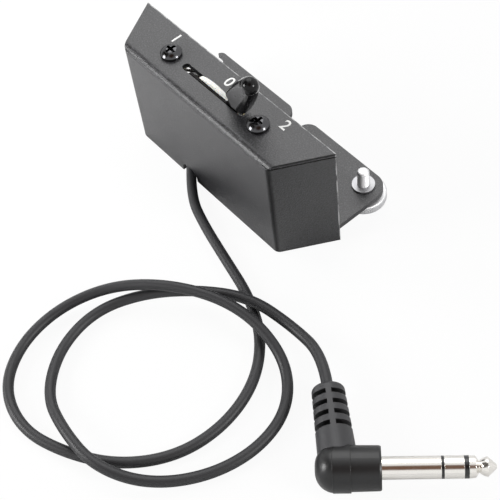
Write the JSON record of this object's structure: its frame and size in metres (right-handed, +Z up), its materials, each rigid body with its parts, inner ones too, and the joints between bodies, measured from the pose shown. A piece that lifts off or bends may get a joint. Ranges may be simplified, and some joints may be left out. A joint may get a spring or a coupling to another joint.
{
  "type": "half moon switch",
  "caption": "Lever switch in a slim bent-sheet box with a hook bracket, a captive thumbscrew and a thin lead ending in a right-angle jack plug.",
  "frame": {"origin": "centre of the box of the switch without its free lead, on the floor that the cover's rim stands on", "axes": "+X towards the lever's fast end and the thumbscrew, +Y towards the open back and the bracket, +Z up through the lever"},
  "size_m": [0.181, 0.1393, 0.0611],
  "materials": {
    "painted_sheet": "satin, fine texture",
    "black_screw": "gloss",
    "zinc_steel": "zinc plated",
    "bright_nickel": "bright plated",
    "blackened_steel": "blackened",
    "spring_steel": "bare",
    "ivory_plastic": "smooth",
    "black_plastic": "gloss",
    "brown_board": "pressed",
    "contact_brass": "bare",
    "cord_rubber": "satin",
    "moulded_grey": "satin",
    "insulator_black": "gloss",
    "wire_white": "smooth",
    "wire_red": "smooth",
    "wire_bare": "tinned",
    "clamp_nylon": "smooth"
  },
  "bodies": {
    "housing": {"cover": "painted_sheet", "mounting_bracket": "painted_sheet", "panel_screws": "black_screw", "switch_frame": "zinc_steel", "block_screws": "zinc_steel", "pivot_pin": "zinc_steel", "pivot_clip": "spring_steel", "detent_spring": "spring_steel", "detent_rivet": "zinc_steel", "fast_contact_block": "brown_board", "fast_moving_blade": "contact_brass", "fast_fixed_blade": "contact_brass", "slow_contact_block": "brown_board", "slow_moving_blade": "contact_brass", "slow_fixed_blade": "contact_brass", "jumper_wire": "wire_bare", "wire_tip": "wire_white", "wire_sleeve": "wire_bare", "wire_ring": "wire_red", "cord_clamp": "clamp_nylon", "clamp_screw": "zinc_steel", "clamp_nut": "zinc_steel", "cord": "cord_rubber", "cord_lead_in": "cord_rubber", "plug_sleeve": "bright_nickel", "plug_ring": "bright_nickel", "plug_insulator_rings": "insulator_black", "plug_tip": "bright_nickel", "plug_body": "moulded_grey", "plug_boot": "moulded_grey"},
    "lever": {"half_moon_disc": "ivory_plastic", "lever_arm": "blackened_steel", "arm_rivets": "zinc_steel", "lever_knob": "black_plastic"},
    "thumbscrew_body": {"thumbscrew": "bright_nickel", "thumbscrew_retainer": "bright_nickel"}
  },
  "joints": [
    {"name": "lever_swing", "type": "hinge", "parent": "housing", "child": "lever", "pos_m": [-0.0005, -0.0121, 0.0261], "axis": [0, 1, 0], "range_deg": [-62, 0], "deforming": ["detent_spring", "fast_moving_blade", "slow_moving_blade"]},
    {"name": "thumbscrew_spin", "type": "hinge", "parent": "housing", "child": "thumbscrew_body", "pos_m": [0.0385, 0.0134, 0.005], "axis": [0, 0, 1], "continuous": true}
  ]
}
